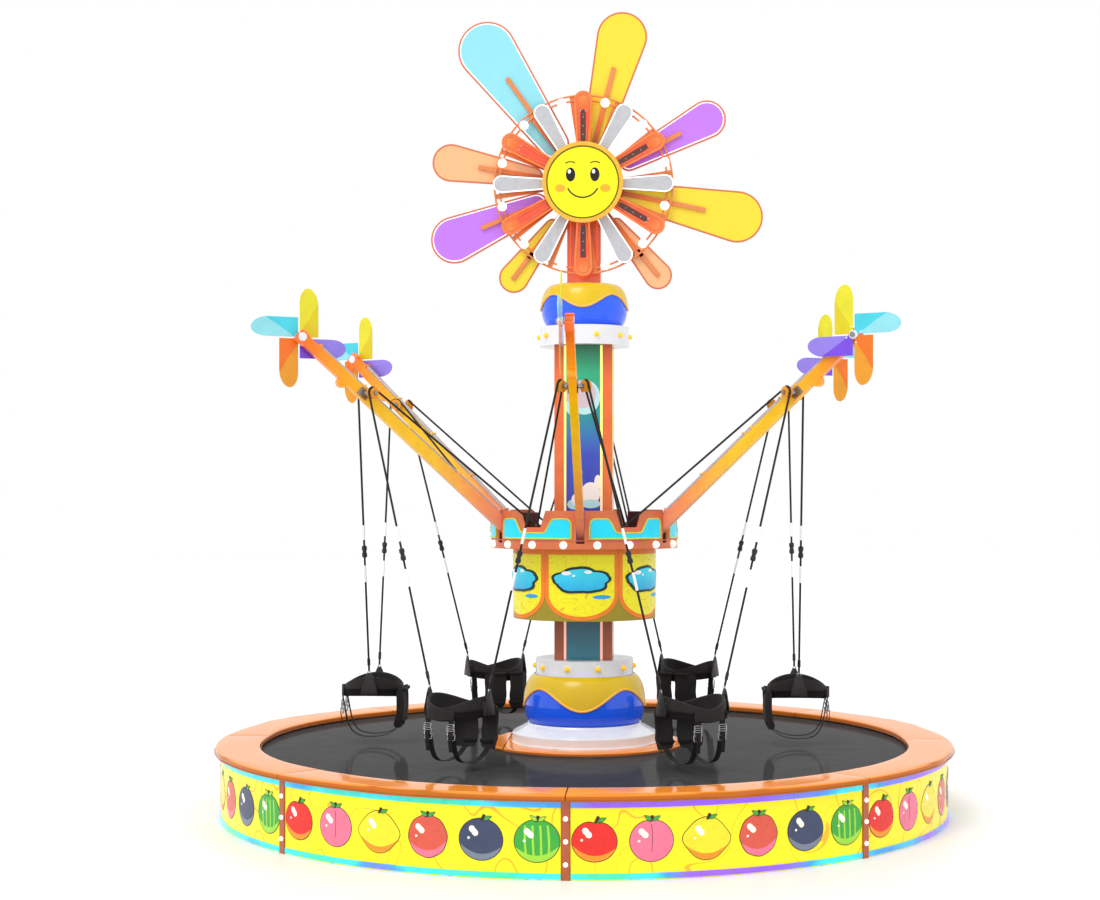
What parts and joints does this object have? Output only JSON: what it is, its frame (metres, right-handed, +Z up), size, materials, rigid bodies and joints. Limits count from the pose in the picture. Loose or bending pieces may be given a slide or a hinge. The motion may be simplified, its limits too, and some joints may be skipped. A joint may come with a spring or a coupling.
{
  "type": "bungee trampoline carousel",
  "caption": "Round trampoline platform with a fixed central column under a flower sign, and a turning crown whose rising arms carry pinwheels and rope-hung harnesses.",
  "frame": {"origin": "centre of the underside, on the floor", "axes": "+Z up along the column; -Y is the front, which the flower's face looks towards; +X is the viewer's right"},
  "size_m": [6, 6, 6.518],
  "materials": {
    "frame_steel": "dark grey primer on rolled channel and plate",
    "wall_print": "yellow printed wall cladding with fruit motifs",
    "post_paint": "gloss orange-brown powder coat",
    "lamp_glass": "white LED lamp domes",
    "light_strip": "turquoise LED strip under a clear cover",
    "rim_vinyl": "soft orange vinyl over foam",
    "mat_weave": "dark grey trampoline weave",
    "spring_steel": "zinc-plated tension springs",
    "white_shell": "white moulded shell",
    "bowl_paint": "blue moulded shell with a yellow wave",
    "amber_lamp": "amber lamp domes",
    "corner_paint": "orange-brown corner angle with an LED line",
    "column_print": "green to blue printed panel with clouds",
    "bearing_steel": "machined steel",
    "motor_paint": "blue-grey enamel",
    "pylon_paint": "orange-red cladding with a neon outline",
    "rib_paint": "orange gloss paint",
    "petal_acrylic": "backlit acrylic in yellow, cyan, violet and peach",
    "silver_petal": "silver-white petals with yellow edges",
    "neon_petal": "red petals with coloured tube outlines",
    "face_acrylic": "yellow domed face with a printed smile",
    "crown_paint": "orange moulded crown",
    "inlay_acrylic": "cyan acrylic inlay with a yellow edge",
    "skirt_acrylic": "yellow backlit skirt panels with orange edges",
    "arm_paint": "orange arm with a yellow middle and a clear lamp strip on top",
    "anchor_paint": "dark brown paint",
    "rope_sheath": "black braided sheath over elastic cord",
    "blade_acrylic": "blades in cyan, yellow, violet and orange",
    "sheave_nylon": "black nylon",
    "harness_webbing": "black padded webbing"
  },
  "bodies": {
    "base": {"base_frame": "frame_steel", "wall_panels": "wall_print", "wall_posts": "post_paint", "wall_lamps": "lamp_glass", "wall_light_strips": "light_strip", "edge_pads": "rim_vinyl", "trampoline_mat": "mat_weave", "mat_springs": "spring_steel", "step_pads": "rim_vinyl", "plinth": "white_shell", "bowls": "bowl_paint", "collars": "white_shell", "collar_lamps": "amber_lamp", "column_core": "frame_steel", "column_corners": "corner_paint", "column_panels": "column_print", "slew_inner_ring": "bearing_steel", "drive_motor": "motor_paint", "pylon": "pylon_paint", "flower_frame": "rib_paint", "flower_lamps": "lamp_glass", "big_petals": "petal_acrylic", "silver_petals": "silver_petal", "neon_petals": "neon_petal", "face_disc": "face_acrylic"},
    "carousel": {"slew_gear_ring": "bearing_steel", "crown_deck": "frame_steel", "crown_parapet": "crown_paint", "crown_inlays": "inlay_acrylic", "crown_lamps": "lamp_glass", "crown_skirt": "skirt_acrylic", "arms": "arm_paint", "arm_axles": "bearing_steel", "rope_anchors": "anchor_paint", "upper_ropes": "rope_sheath"},
    "pinion": {"drive_pinion": "bearing_steel"},
    "pinwheel_1": {"pinwheel_1": "blade_acrylic"},
    "swing_1": {"ropes_1": "rope_sheath"},
    "harness_1": {"harness_1": "harness_webbing"},
    "sheaves_1": {"sheaves_1": "sheave_nylon"},
    "pinwheel_2": {"pinwheel_2": "blade_acrylic"},
    "swing_2": {"ropes_2": "rope_sheath"},
    "harness_2": {"harness_2": "harness_webbing"},
    "sheaves_2": {"sheaves_2": "sheave_nylon"},
    "pinwheel_3": {"pinwheel_3": "blade_acrylic"},
    "swing_3": {"ropes_3": "rope_sheath"},
    "harness_3": {"harness_3": "harness_webbing"},
    "sheaves_3": {"sheaves_3": "sheave_nylon"},
    "pinwheel_4": {"pinwheel_4": "blade_acrylic"},
    "swing_4": {"ropes_4": "rope_sheath"},
    "harness_4": {"harness_4": "harness_webbing"},
    "sheaves_4": {"sheaves_4": "sheave_nylon"},
    "pinwheel_5": {"pinwheel_5": "blade_acrylic"},
    "swing_5": {"ropes_5": "rope_sheath"},
    "harness_5": {"harness_5": "harness_webbing"},
    "sheaves_5": {"sheaves_5": "sheave_nylon"},
    "pinwheel_6": {"pinwheel_6": "blade_acrylic"},
    "swing_6": {"ropes_6": "rope_sheath"},
    "harness_6": {"harness_6": "harness_webbing"},
    "sheaves_6": {"sheaves_6": "sheave_nylon"}
  },
  "joints": [
    {"name": "carousel_spin", "type": "hinge", "parent": "base", "child": "carousel", "pos_m": [0, 0, 2.11], "axis": [0, 0, 1], "continuous": true},
    {"name": "drive_pinion_turn", "type": "hinge", "parent": "base", "child": "pinion", "pos_m": [0.484, 0, 2.11], "axis": [0, 0, 1], "continuous": true},
    {"name": "pinwheel_1_spin", "type": "hinge", "parent": "carousel", "child": "pinwheel_1", "pos_m": [0, -2.442, 3.785], "axis": [-1, 0, 0], "continuous": true},
    {"name": "swing_1", "type": "hinge", "parent": "carousel", "child": "swing_1", "pos_m": [0.84437, -1.4625, 3.3657], "axis": [-0.866, -0.5, 0], "range_deg": [-12, 40]},
    {"name": "lift_1", "type": "slide", "parent": "swing_1", "child": "harness_1", "axis": [0, 0, 1], "range_m": [0, 0.9], "deforming": ["ropes_1"]},
    {"name": "sheaves_1_turn", "type": "hinge", "parent": "carousel", "child": "sheaves_1", "pos_m": [0.84437, -1.4625, 3.3657], "axis": [-0.866, -0.5, 0], "continuous": true},
    {"name": "pinwheel_2_spin", "type": "hinge", "parent": "carousel", "child": "pinwheel_2", "pos_m": [2.11483, -1.221, 3.785], "axis": [-0.5, -0.866, 0], "continuous": true},
    {"name": "swing_2", "type": "hinge", "parent": "carousel", "child": "swing_2", "pos_m": [1.68875, 0, 3.3657], "axis": [0, -1, 0], "range_deg": [-12, 40]},
    {"name": "lift_2", "type": "slide", "parent": "swing_2", "child": "harness_2", "axis": [0, 0, 1], "range_m": [0, 0.9], "deforming": ["ropes_2"]},
    {"name": "sheaves_2_turn", "type": "hinge", "parent": "carousel", "child": "sheaves_2", "pos_m": [1.68875, 0, 3.3657], "axis": [0, -1, 0], "continuous": true},
    {"name": "pinwheel_3_spin", "type": "hinge", "parent": "carousel", "child": "pinwheel_3", "pos_m": [2.11483, 1.221, 3.785], "axis": [0.5, -0.866, 0], "continuous": true},
    {"name": "swing_3", "type": "hinge", "parent": "carousel", "child": "swing_3", "pos_m": [0.84437, 1.4625, 3.3657], "axis": [0.866, -0.5, 0], "range_deg": [-12, 40]},
    {"name": "lift_3", "type": "slide", "parent": "swing_3", "child": "harness_3", "axis": [0, 0, 1], "range_m": [0, 0.9], "deforming": ["ropes_3"]},
    {"name": "sheaves_3_turn", "type": "hinge", "parent": "carousel", "child": "sheaves_3", "pos_m": [0.84437, 1.4625, 3.3657], "axis": [0.866, -0.5, 0], "continuous": true},
    {"name": "pinwheel_4_spin", "type": "hinge", "parent": "carousel", "child": "pinwheel_4", "pos_m": [0, 2.442, 3.785], "axis": [1, 0, 0], "continuous": true},
    {"name": "swing_4", "type": "hinge", "parent": "carousel", "child": "swing_4", "pos_m": [-0.84437, 1.4625, 3.3657], "axis": [0.866, 0.5, 0], "range_deg": [-12, 40]},
    {"name": "lift_4", "type": "slide", "parent": "swing_4", "child": "harness_4", "axis": [0, 0, 1], "range_m": [0, 0.9], "deforming": ["ropes_4"]},
    {"name": "sheaves_4_turn", "type": "hinge", "parent": "carousel", "child": "sheaves_4", "pos_m": [-0.84437, 1.4625, 3.3657], "axis": [0.866, 0.5, 0], "continuous": true},
    {"name": "pinwheel_5_spin", "type": "hinge", "parent": "carousel", "child": "pinwheel_5", "pos_m": [-2.11483, 1.221, 3.785], "axis": [0.5, 0.866, 0], "continuous": true},
    {"name": "swing_5", "type": "hinge", "parent": "carousel", "child": "swing_5", "pos_m": [-1.68875, 0, 3.3657], "axis": [0, 1, 0], "range_deg": [-12, 40]},
    {"name": "lift_5", "type": "slide", "parent": "swing_5", "child": "harness_5", "axis": [0, 0, 1], "range_m": [0, 0.9], "deforming": ["ropes_5"]},
    {"name": "sheaves_5_turn", "type": "hinge", "parent": "carousel", "child": "sheaves_5", "pos_m": [-1.68875, 0, 3.3657], "axis": [0, 1, 0], "continuous": true},
    {"name": "pinwheel_6_spin", "type": "hinge", "parent": "carousel", "child": "pinwheel_6", "pos_m": [-2.11483, -1.221, 3.785], "axis": [-0.5, 0.866, 0], "continuous": true},
    {"name": "swing_6", "type": "hinge", "parent": "carousel", "child": "swing_6", "pos_m": [-0.84437, -1.4625, 3.3657], "axis": [-0.866, 0.5, 0], "range_deg": [-12, 40]},
    {"name": "lift_6", "type": "slide", "parent": "swing_6", "child": "harness_6", "axis": [0, 0, 1], "range_m": [0, 0.9], "deforming": ["ropes_6"]},
    {"name": "sheaves_6_turn", "type": "hinge", "parent": "carousel", "child": "sheaves_6", "pos_m": [-0.84437, -1.4625, 3.3657], "axis": [-0.866, 0.5, 0], "continuous": true}
  ],
  "couplings": [
    {"joint": "drive_pinion_turn", "follows": "carousel_spin", "ratio": -8.3077},
    {"joint": "sheaves_1_turn", "follows": "lift_1", "rad_per_m": 9.2},
    {"joint": "sheaves_2_turn", "follows": "lift_2", "rad_per_m": 9.2},
    {"joint": "sheaves_3_turn", "follows": "lift_3", "rad_per_m": 9.2},
    {"joint": "sheaves_4_turn", "follows": "lift_4", "rad_per_m": 9.2},
    {"joint": "sheaves_5_turn", "follows": "lift_5", "rad_per_m": 9.2},
    {"joint": "sheaves_6_turn", "follows": "lift_6", "rad_per_m": 9.2}
  ]
}
